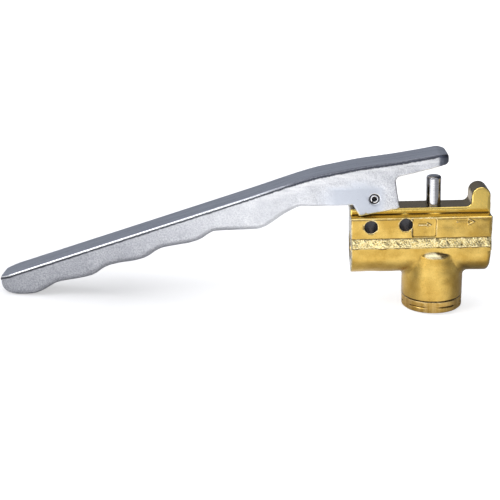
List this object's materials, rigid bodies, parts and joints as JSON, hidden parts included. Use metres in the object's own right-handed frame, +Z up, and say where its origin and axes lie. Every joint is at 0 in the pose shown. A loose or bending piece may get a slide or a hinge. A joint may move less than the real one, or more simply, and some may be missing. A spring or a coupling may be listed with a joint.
{
  "type": "lever-operated spray valve",
  "caption": "Normally closed lever valve: a squeeze lever on a forged brass tee body pushes a stem that opens a spring-loaded poppet.",
  "frame": {"origin": "middle of the bottom cap's outer face, on the stem axis", "axes": "+X is the flow direction from inlet to outlet, +Z runs up along the stem, the long arm of the lever points to -X"},
  "size_m": [0.2166, 0.0262, 0.0698],
  "materials": {
    "forged_brass": "forged and tumbled, rough trimmed flash band, polished rail",
    "cap_brass": "turned, with a slightly knurled rim",
    "turned_brass": "turned",
    "cast_aluminium": "sand cast and tumbled, ground smooth on the back",
    "ground_steel": "ground stainless",
    "spring_steel": "oiled spring steel",
    "black_rubber": "moulded nitrile",
    "white_ptfe": "turned PTFE",
    "amber_urethane": "moulded urethane"
  },
  "bodies": {
    "body": {"valve_body": "forged_brass", "pivot_pin": "spring_steel", "stem_wiper": "black_rubber", "upper_backup_ring": "white_ptfe", "upper_o_ring": "black_rubber", "seal_spacer": "turned_brass", "lower_o_ring": "black_rubber", "lower_backup_ring": "white_ptfe", "stem_bushing": "turned_brass", "bushing_retaining_ring": "spring_steel", "valve_seat": "ground_steel", "seat_o_ring": "black_rubber", "seat_cage": "turned_brass", "spring_washer": "ground_steel", "return_spring": "spring_steel", "bottom_cap": "cap_brass", "cap_o_ring": "black_rubber"},
    "lever": {"lever": "cast_aluminium"},
    "plunger": {"stem": "ground_steel", "seal_washer": "ground_steel", "poppet_seal": "amber_urethane", "poppet": "turned_brass", "poppet_nut": "ground_steel"}
  },
  "joints": [
    {"name": "lever_pivot", "type": "hinge", "parent": "body", "child": "lever", "pos_m": [-0.0259, 0, 0.051], "axis": [0, 1, 0], "range_deg": [0, 15.6]},
    {"name": "stem_slide", "type": "slide", "parent": "body", "child": "plunger", "axis": [0, 0, -1], "range_m": [0, 0.0025], "stiffness_N_per_m": 5500, "springref_m": -0.0035, "deforming": ["return_spring"]}
  ],
  "couplings": [
    {"joint": "stem_slide", "follows": "lever_pivot", "m_per_rad": 0.009181}
  ]
}
